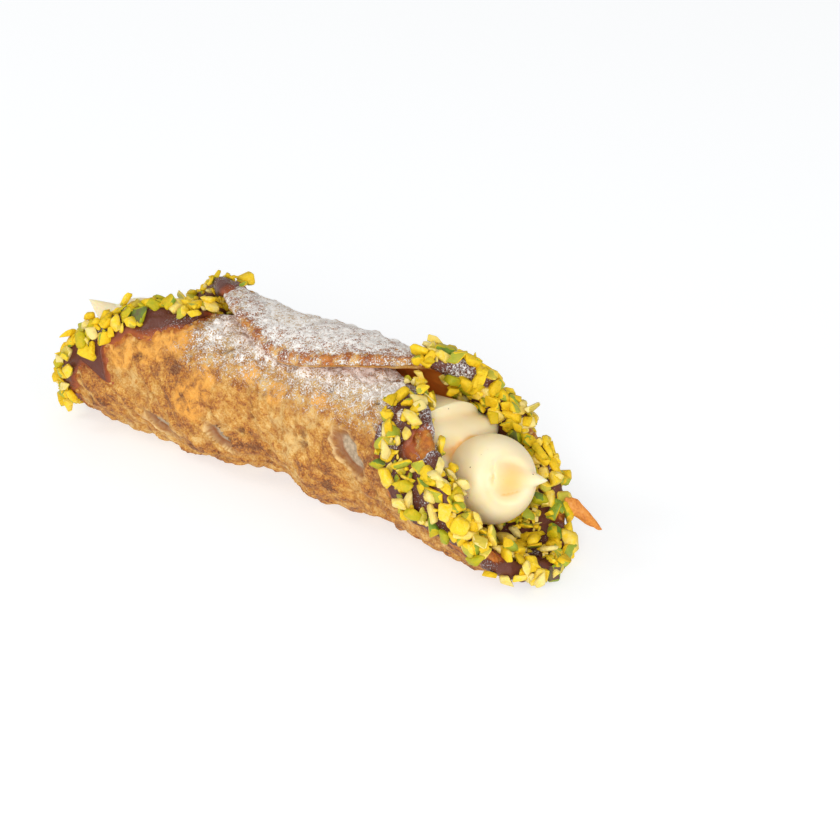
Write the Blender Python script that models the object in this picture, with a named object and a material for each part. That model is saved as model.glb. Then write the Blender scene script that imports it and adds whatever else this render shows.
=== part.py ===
"""A cannolo: a disc of dough rolled round a tube and fried, then filled with piped cream.

Metres, +Z up. X runs along the tube, and the cannolo lies on z = 0. The dough is designed flat,
as (x, wrap, height): x along the tube, wrap round it from the bottom and positive over the far
side (+Y), and height over the outer face of the dough. roll() wraps a flat point round the tube,
so that the chocolate and the nuts on the rims follow the dough wherever it goes.
"""

from math import acos, atan2, copysign, cos, exp, hypot, pi, radians, sin, sqrt

import bmesh
import bpy
from mathutils import Vector

GAP = 0.0005                       # kept between pieces that touch

# The disc of dough, flat
DOUGH_THICKNESS = 0.0025
DISC_HALF_WRAP = 0.0562            # from the middle of the disc to its edge, round the tube
HALF_LENGTH = {1: 0.0630, -1: 0.0634}        # from the middle to the right (1) or left (-1) lip
OUTLINE_POWERS = {1: (1.27, 1.85), -1: (2.03, 1.36)}   # how full each side of the disc is
FAR_TRIM = {1: (0.06, 0.026, 0.013), -1: (0.07, 0.045, 0.018)}   # share, wrap and its length

# The tube that it is rolled into
TUBE_RADIUS = 0.01625              # outer radius of one turn of dough
AXIS_OFFSET = (0.0004, 0.0002)    # puts the middle of the box over the origin
ROLL_START = radians(-3.3)         # where the middle of the disc lies, from the bottom
OVERLAP_LIFT = 0.0036              # how far the upper layer rises over the lower one
LIFT_FROM, LIFT_OVER = radians(115), radians(50)
UNDER_TUCK = 0.0013                # how far the end of the lower layer is pressed inwards
TUCK_FROM, TUCK_OVER = radians(140), radians(50)
DENTED_SIDE = radians(-55)         # the dents and swellings below are deepest here
DENTS = (                          # change of radius, place along the tube and length
    (0.0018, -0.0500, 0.0085),
    (-0.0030, -0.0025, 0.0100),
    (-0.0004, 0.0100, 0.0220),
    (-0.0022, 0.0250, 0.0090),
    (0.0010, 0.0500, 0.0090),
)
RIGHT_FLARE = 0.0012
LIP_RISE = {1: 0.0032, -1: 0.0020}  # how far each lip lifts off the floor
SETTLE = 0.0008                    # pressed flat against the floor

# The chocolate and the chopped nuts round each mouth
CHOCOLATE_THICKNESS = 0.0007
NUTS_THICKNESS = {1: 0.0020, -1: 0.0015}
NUTS_GAP = 0.0006                  # a little more than GAP, as their facets cross
CROSSING_WRAP = 0.0470             # the rim passes under the flap here, and bands end before it

EDGE_RADIUS = DOUGH_THICKNESS / 2  # the edge of the dough is half round
EDGE_LENGTH = pi * EDGE_RADIUS     # round the edge, from the outer to the inner face
EDGE_SHARE = (0.20, 0.80)          # the part of a band's width that goes round the edge

# The cream: lobes along the tube as (x, y, z, half length, radius, power)
CREAM_CLEARANCE = 0.0009
LEFT_TIP_RISE = 0.0040             # the left tip is pulled up from the middle of the tube
CREAM_ENDS = (0.0628, 0.0583)      # how far the left and the right tip reach
CREAM_LOBES = (
    (0.0, 0.0, 0.0162, 0.0330, 0.0140, 5.0),
    (0.0280, 0.0, 0.0180, 0.0100, 0.0126, 2.2),
    (0.0365, 0.0005, 0.0196, 0.0085, 0.0112, 2.2),
    (0.0468, -0.0002, 0.0172, 0.0092, 0.0090, 2.0),
    (0.0515, 0.0014, 0.0180, 0.0070, 0.0042, 1.3),
    (-0.0300, 0.0, 0.0172, 0.0100, 0.0120, 2.2),
    (-0.0400, -0.0005, 0.0176, 0.0085, 0.0104, 2.2),
    (-0.0490, 0.0004, 0.0184, 0.0088, 0.0088, 2.0),
    (-0.0555, 0.0, 0.0206, 0.0075, 0.0038, 1.3),
)

COLOURS = {
    "shell": (0.60, 0.32, 0.10),
    "cream": (0.93, 0.74, 0.30),
    "chocolate": (0.062, 0.022, 0.022),
    "nuts": (0.62, 0.55, 0.04),
}
ROUGHNESS = {"shell": 0.65, "cream": 0.35, "chocolate": 0.30, "nuts": 0.50}


def smooth(t):
    t = min(1.0, max(0.0, t))
    return t * t * (3.0 - 2.0 * t)


def mix(a, b, t):
    return a + (b - a) * t


def rounded(t, power):
    """1 in the middle, and 0 at t = -1 and 1, as an ellipse or a rounder box."""
    return max(0.0, 1.0 - abs(t) ** power) ** (1.0 / power)


def bump(x, middle, length):
    return exp(-((x - middle) / length) ** 2)


# ------------------------------------------------------------------ the rolled dough

def half_length(end, wrap):
    """From the middle of the disc to its rim, on the right (end 1) or left (end -1)."""
    inner, outer = OUTLINE_POWERS[end]
    share = min(1.0, abs(wrap) / DISC_HALF_WRAP)
    trim, middle, spread = FAR_TRIM[end]
    length = HALF_LENGTH[end] * (1.0 - share ** inner) ** (1.0 / outer)
    return length * (1.0 - trim * bump(wrap, middle, spread))


def rim_slope(end, wrap):
    """How fast the disc lengthens round the tube."""
    step = 0.0001
    return (half_length(end, wrap + step) - half_length(end, wrap - step)) / (2.0 * step)


def unevenness(x, angle):
    """Soft dents and swellings from frying, as a change of radius."""
    return 0.00025 * sin(130.0 * x + 2.0 * angle + 0.6) + 0.00016 * sin(220.0 * x - 3.0 * angle + 2.1)


def tube_radius(x, angle):
    dented = (0.5 * (1.0 + cos(angle - DENTED_SIDE))) ** 2
    change = sum(depth * bump(x, middle, length) for depth, middle, length in DENTS)
    flare = RIGHT_FLARE * smooth((x - 0.025) / 0.040)
    return TUBE_RADIUS + dented * change + flare + unevenness(x, angle)


def axis_height(x):
    end = 1 if x > 0 else -1
    return TUBE_RADIUS - SETTLE + LIP_RISE[end] * smooth((abs(x) - 0.020) / 0.045)


def layer_shift(turn):
    """The upper layer rises over the lower one, whose end is tucked inwards."""
    lift = OVERLAP_LIFT * smooth((turn - LIFT_FROM) / LIFT_OVER)
    tuck = UNDER_TUCK * smooth((-turn - TUCK_FROM) / TUCK_OVER)
    return lift - tuck


def roll(x, wrap, height):
    """Where a point of the flat dough lies once it is rolled."""
    turn = wrap / (TUBE_RADIUS - DOUGH_THICKNESS / 2)
    angle = turn + ROLL_START
    outer = tube_radius(x, angle) + layer_shift(turn)
    middle = axis_height(x)
    sunk = max(0.0, outer * cos(angle) - middle)
    z = middle - (outer + height) * cos(angle)
    z += sunk * min(1.0, max(0.0, 1.0 + height / DOUGH_THICKNESS))
    y = (outer + height) * sin(angle)
    return Vector((x + AXIS_OFFSET[0], y + AXIS_OFFSET[1], max(0.0, z)))


# ------------------------------------------------------------------ bodies

def finish(name, kind, shape):
    """Turns a bmesh into a named object with its own material."""
    if shape.calc_volume(signed=True) < 0.0:
        bmesh.ops.reverse_faces(shape, faces=shape.faces)
    bmesh.ops.triangulate(shape, faces=shape.faces)
    mesh = bpy.data.meshes.new(name)
    shape.to_mesh(mesh)
    shape.free()
    mesh.shade_smooth()
    material = bpy.data.materials.new(name)
    material.use_nodes = True
    shader = material.node_tree.nodes["Principled BSDF"]
    shader.inputs["Base Color"].default_value = (*COLOURS[kind], 1.0)
    shader.inputs["Roughness"].default_value = ROUGHNESS[kind]
    mesh.materials.append(material)
    made = bpy.data.objects.new(name, mesh)
    bpy.context.scene.collection.objects.link(made)
    return made


def pillow(name, kind, columns, rows, place):
    """A closed body made from a sphere, whose vertices place(across, along, side) puts down.

    along runs from pole to pole. across and side are the two legs of the unit circle round each
    parallel, so side is above 0 on the body's upper face and below 0 on its lower face.
    """
    shape = bmesh.new()
    bmesh.ops.create_uvsphere(shape, u_segments=columns, v_segments=rows, radius=1.0)
    for vert in shape.verts:
        along = min(1.0, max(-1.0, vert.co.z))
        ring = max(hypot(vert.co.x, vert.co.y), 1e-6)
        across = min(1.0, max(-1.0, vert.co.x / ring))
        vert.co = place(across, along, vert.co.y / ring)
    return finish(name, kind, shape)


def build_shell():
    """The whole disc of dough in one piece, rolled so that it overlaps itself on top."""

    def place(across, along, side):
        end = 1 if across > 0 else -1
        wrap = DISC_HALF_WRAP * along
        depth = (1.0 - abs(across)) * half_length(end, wrap) / hypot(rim_slope(end, wrap), 1.0)
        depth = min(depth, (1.0 - abs(along)) * DISC_HALF_WRAP, EDGE_RADIUS)
        height = copysign(EDGE_RADIUS * rounded(1.0 - depth / EDGE_RADIUS, 2.0), side)
        return roll(across * half_length(end, wrap), wrap, height - EDGE_RADIUS)

    return pillow("shell", "shell", 48, 37, place)


# ------------------------------------------------------------------ the coats on the rims

def over_the_rim(reach, height):
    """Depth from the rim and height over the dough, at a reach measured round its edge.

    The reach is negative on the outer face, then goes round the edge and on over the inner face.
    """
    if reach < 0.0:
        return EDGE_RADIUS - reach, height
    if reach < EDGE_LENGTH:
        angle = reach / EDGE_RADIUS
        over = EDGE_RADIUS + height
        return EDGE_RADIUS - over * sin(angle), over * cos(angle) - EDGE_RADIUS
    return EDGE_RADIUS + reach - EDGE_LENGTH, -DOUGH_THICKNESS - height


def reach_at(share, first, last):
    """The reach at a share of a band's width, with most of the steps round the edge."""
    turns = (first, max(first, 0.0), EDGE_LENGTH, last)
    if share < EDGE_SHARE[0]:
        return mix(turns[0], turns[1], share / EDGE_SHARE[0])
    if share < EDGE_SHARE[1]:
        return mix(turns[1], turns[2], (share - EDGE_SHARE[0]) / (EDGE_SHARE[1] - EDGE_SHARE[0]))
    return mix(turns[2], turns[3], (share - EDGE_SHARE[1]) / (1.0 - EDGE_SHARE[1]))


def from_the_rim(end, wrap, depth):
    """The flat point at a depth from the rim, square to it."""
    slope = rim_slope(end, wrap)
    size = hypot(slope, 1.0)
    return end * (half_length(end, wrap) - depth / size), wrap + slope * depth / size


def coat(name, kind, end, wraps, reaches, heights, columns, rows):
    """A band that is laid over a rim, from the outer face round the edge to the inner face."""

    def place(across, along, side):
        closing = rounded(along, 6.0)
        wrap = mix(wraps[0], wraps[1], 0.5 + 0.5 * along)
        reach = reach_at(0.5 + (0.5 - acos(across) / pi) * closing, *reaches(wrap))
        low, high = heights(wrap, reach)
        face = copysign(rounded(across, 8.0), side) * closing
        height = mix(low, high, 0.5 + 0.5 * face)
        depth, over = over_the_rim(reach, height)
        x, round_tube = from_the_rim(end, wrap, depth)
        return roll(x, round_tube, over)

    return pillow(name, kind, columns, rows, place)


def room_at_crossing(wrap):
    """How deep a band can reach before it meets the other layer of dough."""
    return max(0.0, 1.35 * (CROSSING_WRAP - abs(wrap)))


def beside(wrap):
    """0 at the bottom of the tube, 1 on its sides and top."""
    return smooth((abs(wrap) - 0.010) / 0.018)


def outer_depth(end, wrap):
    """How far the chocolate runs down the outside: wide on the right mouth, drips on the left."""
    waves = 0.0010 * sin(520.0 * wrap + 1.0) + 0.0007 * sin(930.0 * wrap)
    if end == 1:
        depth = mix(0.0012, 0.0130, beside(wrap))
    else:
        depth = mix(0.0020, 0.0050, beside(wrap)) + 0.0035 * bump(wrap, -0.036, 0.006)
    return min(depth + waves * beside(wrap), room_at_crossing(wrap) if wrap < 0 else 1.0)


def inner_depth(end, wrap):
    depth = 0.0100 if end == 1 else 0.0070
    return min(depth + 0.0010 * sin(610.0 * wrap), room_at_crossing(wrap))


def build_chocolate(end, side_name):

    def reaches(wrap):
        return -outer_depth(end, wrap), EDGE_LENGTH + inner_depth(end, wrap)

    def heights(wrap, reach):
        return GAP, GAP + CHOCOLATE_THICKNESS

    wraps = (-CROSSING_WRAP + 0.0015, CROSSING_WRAP - 0.0010)
    return coat(f"chocolate_{side_name}", "chocolate", end, wraps, reaches, heights, 16, 37)


def build_nuts(end, side_name):
    """The crust of chopped nuts on the chocolate, out to its uneven outline."""
    base = GAP + CHOCOLATE_THICKNESS + NUTS_GAP
    kept_back = {1: 0.0020, -1: 0.0035}[end]

    def reaches(wrap):
        outside = max(0.0, outer_depth(end, wrap) - kept_back)
        first = mix(0.45 * EDGE_LENGTH, -outside, beside(wrap))
        last = EDGE_LENGTH + max(0.0, inner_depth(end, wrap) - 0.0008)
        return first, last

    def heights(wrap, reach):
        lumps = sin(620.0 * wrap + 150.0 * reach) * sin(640.0 * reach - 100.0 * wrap + 0.5)
        thin = mix(0.45, 1.0, smooth((CROSSING_WRAP - abs(wrap)) / 0.008))
        return base, base + NUTS_THICKNESS[end] * thin * (0.80 + 0.20 * lumps)

    wraps = (-CROSSING_WRAP + 0.0030, CROSSING_WRAP - 0.0025)
    return coat(f"nuts_{side_name}", "nuts", end, wraps, reaches, heights, 18, 35)


# ------------------------------------------------------------------ the cream

def bore_radius(x, angle):
    """Free radius inside the dough, less the tucked end of the lower layer on top."""
    turn = angle - ROLL_START
    free = tube_radius(x, angle) - DOUGH_THICKNESS
    if turn > radians(90):
        under = layer_shift(turn - 2 * pi) * smooth((turn - radians(105)) / radians(30))
        return free + under
    return free + min(0.0, layer_shift(turn))


def cream_room(x, angle):
    """How wide the cream can be: up to the dough, or up to the nuts near the rims."""
    end = 1 if x > 0 else -1
    wrap = (angle - ROLL_START) * (TUBE_RADIUS - DOUGH_THICKNESS / 2)
    covered = half_length(end, wrap) - inner_depth(end, wrap) - 0.0040
    crust = 2 * GAP + CHOCOLATE_THICKNESS + NUTS_GAP + NUTS_THICKNESS[end]
    return bore_radius(x, angle) - CREAM_CLEARANCE - crust * smooth((abs(x) - covered) / 0.0025)


def lobe_reach(lobe, x, axis, direction):
    """How far the surface of one lobe is from the axis, in a direction square to it."""
    lobe_x, lobe_y, lobe_z, length, radius, power = lobe
    offset = (x - lobe_x) / length
    if abs(offset) >= 1.0:
        return 0.0
    across = radius * rounded(offset, power)
    to_middle = (lobe_y - axis[0], lobe_z - axis[1])
    along = to_middle[0] * direction[0] + to_middle[1] * direction[1]
    beyond = across ** 2 - to_middle[0] ** 2 - to_middle[1] ** 2 + along ** 2
    return max(0.0, along + sqrt(beyond)) if beyond > 0.0 else 0.0


def build_cream():
    """One filling right through the tube, piped out of both mouths in lobes with a pulled tip."""

    def place(across, along, side):
        x = copysign(abs(along) ** 0.8, along) * CREAM_ENDS[along > 0]
        shift = LEFT_TIP_RISE * smooth((-x - 0.046) / 0.010)
        axis = (0.0, axis_height(x) + shift)
        direction = (across, side)
        reach = max(lobe_reach(lobe, x, axis, direction) for lobe in CREAM_LOBES)
        angle = atan2(across, -side)
        reach = min(reach, cream_room(x, angle) - shift)
        y = axis[0] + reach * direction[0]
        return Vector((x + AXIS_OFFSET[0], y + AXIS_OFFSET[1], axis[1] + reach * direction[1]))

    return pillow("cream", "cream", 20, 42, place)


def main():
    for leftover in list(bpy.data.objects):
        bpy.data.objects.remove(leftover, do_unlink=True)
    build_shell()
    build_cream()
    for end, side_name in ((1, "right"), (-1, "left")):
        build_chocolate(end, side_name)
        build_nuts(end, side_name)


main()
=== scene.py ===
"""A cannolo: a disc of dough rolled round a tube and fried, filled with piped cream, its two rims
dipped in chocolate and chopped pistachios, and dusted with icing sugar. Metres, +Z up."""

from math import asin, cos, hypot, pi, radians, sin
from random import Random

import bmesh
import bpy
import numpy as np
from mathutils import Matrix, Vector, noise


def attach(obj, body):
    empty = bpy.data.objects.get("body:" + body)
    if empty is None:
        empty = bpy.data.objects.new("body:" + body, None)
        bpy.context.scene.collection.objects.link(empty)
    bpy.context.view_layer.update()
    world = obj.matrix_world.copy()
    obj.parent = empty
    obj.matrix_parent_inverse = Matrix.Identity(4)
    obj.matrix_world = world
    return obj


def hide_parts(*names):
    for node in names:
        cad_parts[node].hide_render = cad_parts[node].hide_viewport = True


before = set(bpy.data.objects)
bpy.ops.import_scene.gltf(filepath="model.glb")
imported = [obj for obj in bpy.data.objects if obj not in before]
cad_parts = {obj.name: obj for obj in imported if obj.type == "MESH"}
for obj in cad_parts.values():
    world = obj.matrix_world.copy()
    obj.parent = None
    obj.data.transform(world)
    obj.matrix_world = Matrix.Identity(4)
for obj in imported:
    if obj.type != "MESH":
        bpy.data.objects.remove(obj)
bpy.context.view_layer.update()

# ------------------------------------------------------------------ camera, light and floor
# The cannolo lies on a white table in a white room, seen from its near right and from above.
# Wide soft lamps stand around it, and the white room and the glowing table fill the shadows.

LOOK_AT = Vector((0.0206, 0.0113, 0.0160))
CAMERA_AZIMUTH = radians(39.7)
CAMERA_ELEVATION = radians(26.5)
CAMERA_DISTANCE = 0.420

eye = bpy.data.cameras.new("camera")
eye.lens = 88.24
eye.sensor_width = 36.0
eye.clip_start = 0.01
camera = bpy.data.objects.new("camera", eye)
camera.location = LOOK_AT + CAMERA_DISTANCE * Vector((
    sin(CAMERA_AZIMUTH) * cos(CAMERA_ELEVATION),
    -cos(CAMERA_AZIMUTH) * cos(CAMERA_ELEVATION),
    sin(CAMERA_ELEVATION)))
camera.rotation_euler = (LOOK_AT - camera.location).to_track_quat("-Z", "Y").to_euler()
bpy.context.scene.collection.objects.link(camera)
bpy.context.scene.camera = camera
bpy.context.scene.view_settings.view_transform = "Standard"

room = bpy.data.worlds.new("white room")
room.use_nodes = True
room.node_tree.nodes["Background"].inputs["Color"].default_value = (1.0, 1.0, 1.0, 1.0)
room.node_tree.nodes["Background"].inputs["Strength"].default_value = 0.50
bpy.context.scene.world = room

LAMPS = {  # place, what it faces, width, power and colour
    "left lamp": ((-1.15, -0.85, 1.10), (0.0, 0.0, 0.01), 0.60, 7.5, (1.0, 0.99, 0.97)),
    "right lamp": ((1.35, -0.35, 0.80), (0.0, 0.0, 0.01), 0.70, 3.5, (1.0, 0.99, 0.98)),
    "front lamp": ((0.66, -0.86, 0.46), (0.0, 0.0, 0.01), 0.45, 7.3, (1.0, 0.99, 0.97)),
}
for name, (place, facing, width, power, colour) in LAMPS.items():
    lamp = bpy.data.lights.new(name, "AREA")
    lamp.size = width
    lamp.energy = power
    lamp.color = colour
    holder = bpy.data.objects.new(name, lamp)
    holder.location = place
    holder.rotation_euler = (Vector(facing) - Vector(place)).to_track_quat("-Z", "Y").to_euler()
    bpy.context.scene.collection.objects.link(holder)

TABLE_GLOW = 0.60                  # the table top is lit from below, which softens the shadows
table = bmesh.new()
bmesh.ops.create_grid(table, x_segments=1, y_segments=1, size=1.5)
table_mesh = bpy.data.meshes.new("table")
table.to_mesh(table_mesh)
table.free()
table_finish = bpy.data.materials.new("white table")
table_finish.use_nodes = True
table_shader = table_finish.node_tree.nodes["Principled BSDF"]
table_shader.inputs["Base Color"].default_value = (0.46, 0.475, 0.49, 1.0)
table_shader.inputs["Roughness"].default_value = 0.9
table_shader.inputs["Emission Color"].default_value = (1.0, 1.0, 1.0, 1.0)
table_shader.inputs["Emission Strength"].default_value = TABLE_GLOW
table_mesh.materials.append(table_finish)
table_top = bpy.data.objects.new("table", table_mesh)
bpy.context.scene.collection.objects.link(table_top)

# ------------------------------------------------------------------ the fried dough
# One disc of dough about 2.5 mm thick, rolled round a metal tube so that one edge laps over the
# other on top, and fried in oil. Frying blisters it all over: some blisters have burst and show
# a pale floor, and oil and heat have browned the high places. Icing sugar lies on its top.

DOUGH_THICKNESS = 0.0025
DISC_HALF_WRAP = 0.0562
HALF_LENGTH = {1: 0.0630, -1: 0.0634}
OUTLINE_POWERS = {1: (1.27, 1.85), -1: (2.03, 1.36)}
FAR_TRIM = {1: (0.06, 0.026, 0.013), -1: (0.07, 0.045, 0.018)}
TUBE_RADIUS = 0.01625
AXIS_OFFSET = (0.0004, 0.0002)
ROLL_START = radians(-3.3)
OVERLAP_LIFT = 0.0036
LIFT_FROM, LIFT_OVER = radians(115), radians(50)
UNDER_TUCK = 0.0013
TUCK_FROM, TUCK_OVER = radians(140), radians(50)
DENTED_SIDE = radians(-55)
DENTS = (
    (0.0018, -0.0500, 0.0085),
    (-0.0030, -0.0025, 0.0100),
    (-0.0004, 0.0100, 0.0220),
    (-0.0022, 0.0250, 0.0090),
    (0.0010, 0.0500, 0.0090),
)
RIGHT_FLARE = 0.0012
LIP_RISE = {1: 0.0032, -1: 0.0020}
SETTLE = 0.0008
EDGE_RADIUS = DOUGH_THICKNESS / 2

OUTER_STEPS, INNER_STEPS, ROW_STEPS, EDGE_STEPS = 232, 58, 262, 7
EDGE_BAND = 0.022                  # share of the disc's half width that its round edge takes

OPENED_BLISTERS = (                # x, wrap, length, width and direction on the flat disc
    (0.0232, -0.0268, 0.0108, 0.0050, radians(40)),
    (-0.0120, -0.0185, 0.0078, 0.0036, radians(55)),
    (-0.0288, -0.0166, 0.0096, 0.0052, radians(6)),
    (0.0050, -0.0090, 0.0060, 0.0026, radians(30)),
    (-0.0150, 0.0190, 0.0085, 0.0030, radians(-20)),
    (0.0180, 0.0240, 0.0070, 0.0026, radians(-50)),
    (-0.0300, 0.0100, 0.0060, 0.0024, radians(15)),
    (0.0320, 0.0060, 0.0065, 0.0024, radians(60)),
)
BROWN_PLACES = (                   # x, wrap, size and how much browner
    (-0.0270, -0.0350, 0.0070, 0.30),
    (-0.0340, -0.0325, 0.0050, 0.22),
    (-0.0184, -0.0255, 0.0060, 0.25),
    (-0.0040, -0.0165, 0.0045, 0.30),
    (0.0380, -0.0060, 0.0100, 0.22),
    (0.0160, -0.0170, 0.0060, 0.18),
    (-0.0440, -0.0150, 0.0050, 0.25),
    (0.0000, 0.0250, 0.0100, 0.25),
    (0.0250, 0.0330, 0.0080, 0.22),
    (-0.0250, 0.0300, 0.0080, 0.20),
)
# The shade inside an opened blister is painted into the dough's colour; this sets how far the painted
# shade on its one side reaches in.
UNDERCUT = 0.00052                 # how far the shaded side of an opened blister reaches in
GOLDEN_PLACES = (                  # x, wrap and size of smooth blisters fried to a bright gold
    (-0.0280, -0.0365, 0.0046),
    (-0.0325, -0.0325, 0.0040),
    (-0.0190, -0.0255, 0.0042),
    (-0.0170, -0.0300, 0.0030),
    (-0.0400, -0.0290, 0.0036),
    (0.0020, -0.0330, 0.0026),
    (0.0130, -0.0345, 0.0022),
    (-0.0060, -0.0350, 0.0024),
    (0.0350, 0.0120, 0.0046),
    (-0.0100, 0.0200, 0.0050),
    (0.0150, 0.0300, 0.0040),
    (-0.0350, 0.0250, 0.0044),
)
MEAN_RELIEF = 0.00058              # taken off, so that the bumps lie about the plain surface
PITS = 120
PIT_SEED = 5


def smooth(t):
    t = np.clip(t, 0.0, 1.0)
    return t * t * (3.0 - 2.0 * t)


def mix(a, b, t):
    return a + (b - a) * t


def bump(x, middle, length):
    return np.exp(-((x - middle) / length) ** 2)


def half_length(end, wrap):
    """From the middle of the disc to its rim, on the right (end 1) or left (end -1)."""
    inner, outer = OUTLINE_POWERS[end]
    share = np.minimum(1.0, np.abs(wrap) / DISC_HALF_WRAP)
    trim, middle, spread = FAR_TRIM[end]
    length = HALF_LENGTH[end] * (1.0 - share ** inner) ** (1.0 / outer)
    return length * (1.0 - trim * bump(wrap, middle, spread))


def rim_slope(end, wrap):
    step = 0.0001
    return (half_length(end, wrap + step) - half_length(end, wrap - step)) / (2.0 * step)


def unevenness(x, angle):
    return (0.00025 * np.sin(130.0 * x + 2.0 * angle + 0.6)
            + 0.00016 * np.sin(220.0 * x - 3.0 * angle + 2.1))


def tube_radius(x, angle):
    dented = (0.5 * (1.0 + np.cos(angle - DENTED_SIDE))) ** 2
    change = sum(depth * bump(x, middle, length) for depth, middle, length in DENTS)
    flare = RIGHT_FLARE * smooth((x - 0.025) / 0.040)
    return TUBE_RADIUS + dented * change + flare + unevenness(x, angle)


def axis_height(x):
    rise = np.where(x > 0, LIP_RISE[1], LIP_RISE[-1])
    return TUBE_RADIUS - SETTLE + rise * smooth((np.abs(x) - 0.020) / 0.045)


def layer_shift(turn):
    """The upper layer rises over the lower one, whose end is tucked inwards."""
    lift = OVERLAP_LIFT * smooth((turn - LIFT_FROM) / LIFT_OVER)
    tuck = UNDER_TUCK * smooth((-turn - TUCK_FROM) / TUCK_OVER)
    return lift - tuck


def roll(x, wrap, height):
    """Where points of the flat dough, x along it, wrap round it, lie once it is rolled."""
    turn = wrap / (TUBE_RADIUS - DOUGH_THICKNESS / 2)
    angle = turn + ROLL_START
    outer = tube_radius(x, angle) + layer_shift(turn)
    middle = axis_height(x)
    sunk = np.maximum(0.0, outer * np.cos(angle) - middle)
    z = middle - (outer + height) * np.cos(angle)
    z = z + sunk * np.clip(1.0 + height / DOUGH_THICKNESS, 0.0, 1.0)
    y = (outer + height) * np.sin(angle)
    return np.stack((x + AXIS_OFFSET[0], y + AXIS_OFFSET[1], np.maximum(0.0, z)), axis=-1)


def sphere_grid(columns, rows):
    """A sphere to be shaped, with the column and the row of each of its vertices."""
    shape = bmesh.new()
    bmesh.ops.create_uvsphere(shape, u_segments=columns, v_segments=rows, radius=1.0)
    spots = np.array([tuple(vert.co) for vert in shape.verts])
    row = np.rint(np.arccos(np.clip(spots[:, 2], -1.0, 1.0)) / pi * rows).astype(int)
    turn = np.arctan2(spots[:, 1], spots[:, 0]) / (2.0 * pi) * columns
    return shape, np.rint(turn).astype(int) % columns, row


def move_to(shape, places):
    for vert, place in zip(shape.verts, places):
        vert.co = place


def grain(x, wrap, size, seed):
    """Soft noise from -1 to 1 over the flat dough, whose lumps are about one size across."""
    return np.array([noise.noise(Vector((a, b, seed))) for a, b in zip(x / size, wrap / size)])


def blisters(x, wrap, size, seed, share):
    """Domes from 0 to 1 on a share of the cells of a net, and how near each point is to a seam."""
    domes = np.zeros(len(x))
    seams = np.zeros(len(x))
    for spot, (a, b) in enumerate(zip(x / size, wrap / size)):
        reach, middles = noise.voronoi(Vector((a, b, seed)))
        strength = 0.5 + 0.5 * noise.noise(middles[0] * 7.3)
        raised = min(1.0, max(0.0, (strength - 0.5 + 0.5 * share) * 3.0))
        domes[spot] = raised * max(0.0, 1.0 - (reach[0] / 0.72) ** 2)
        seams[spot] = 1.0 - min(1.0, (reach[1] - reach[0]) / 0.30)
    return domes, seams


def finished(name, shape, materials, replaced):
    """Turns a bmesh into a smooth piece that rides with the cannolo."""
    if shape.calc_volume(signed=True) < 0.0:
        bmesh.ops.reverse_faces(shape, faces=shape.faces)
    mesh = bpy.data.meshes.new(name)
    shape.to_mesh(mesh)
    shape.free()
    mesh.shade_smooth()
    for material in materials:
        mesh.materials.append(material)
    piece = bpy.data.objects.new(name, mesh)
    bpy.context.scene.collection.objects.link(piece)
    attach(piece, "root")
    for node in replaced:
        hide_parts(node)
    return piece


def keep(piece, name, values):
    """Keeps a value for each vertex of a piece, for its material to read."""
    kind = "FLOAT_VECTOR" if values.ndim == 2 else "FLOAT"
    layer = piece.data.attributes.new(name, kind, "POINT")
    layer.data.foreach_set("vector" if values.ndim == 2 else "value", values.ravel())


class Wire:
    """An output of a material's node. Sums, products and the like of wires add Math nodes."""

    def __init__(self, socket):
        self.socket = socket

    def node(self, kind, settings, sockets, output=0):
        """Adds a node with its settings, and the values or wires of its sockets."""
        tree = self.socket.id_data
        made = tree.nodes.new(kind)
        for name, value in settings.items():
            if name == "stops":
                for place, colour in value[1:-1]:
                    made.color_ramp.elements.new(place)
                for element, (place, colour) in zip(made.color_ramp.elements, value):
                    element.position = place
                    element.color = (*colour, 1.0)
            else:
                setattr(made, name, value)
        for name, value in sockets.items():
            if isinstance(value, Wire):
                tree.links.new(value.socket, made.inputs[name])
            else:
                made.inputs[name].default_value = value
        return Wire(made.outputs[output])

    def math(self, operation, first, second):
        return self.node("ShaderNodeMath", {"operation": operation}, {0: first, 1: second})

    def __add__(self, other):
        return self.math("ADD", self, other)

    def __radd__(self, other):
        return self.math("ADD", other, self)

    def __sub__(self, other):
        return self.math("SUBTRACT", self, other)

    def __rsub__(self, other):
        return self.math("SUBTRACT", other, self)

    def __mul__(self, other):
        return self.math("MULTIPLY", self, other)

    def __abs__(self):
        return self.math("ABSOLUTE", self, 0.0)

    def __rmul__(self, other):
        return self.math("MULTIPLY", other, self)

    def step(self, low, high):
        """0 below low, 1 above high and smooth between them."""
        return self.node("ShaderNodeMapRange", {"interpolation_type": "SMOOTHSTEP"},
                         {"Value": self, "From Min": low, "From Max": high})

    def ramp(self, *stops):
        return self.node("ShaderNodeValToRGB", {"stops": stops}, {"Fac": self})

    def blend(self, first, second):
        """The first colour where this wire is 0, and the second where it is 1."""
        return self.node("ShaderNodeMix", {"data_type": "RGBA"}, {0: self, 6: first, 7: second}, 2)

    def lumps(self, size, detail=2.0, roughness=0.5, distortion=0.0):
        """Noise from 0 to 1 over these coordinates, whose lumps are about one size across."""
        return self.node("ShaderNodeTexNoise", {}, {
            "Vector": self, "Scale": 1.0 / size, "Detail": detail, "Roughness": roughness,
            "Distortion": distortion})

    def cells(self, size, feature="F1"):
        return self.node("ShaderNodeTexVoronoi", {"feature": feature}, {
            "Vector": self, "Scale": 1.0 / size})

    def kept(self, name, output=2):
        """A value kept on the vertices (output 2), or a vector (output 1)."""
        return self.node("ShaderNodeAttribute", {"attribute_name": name}, {}, output)


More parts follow.
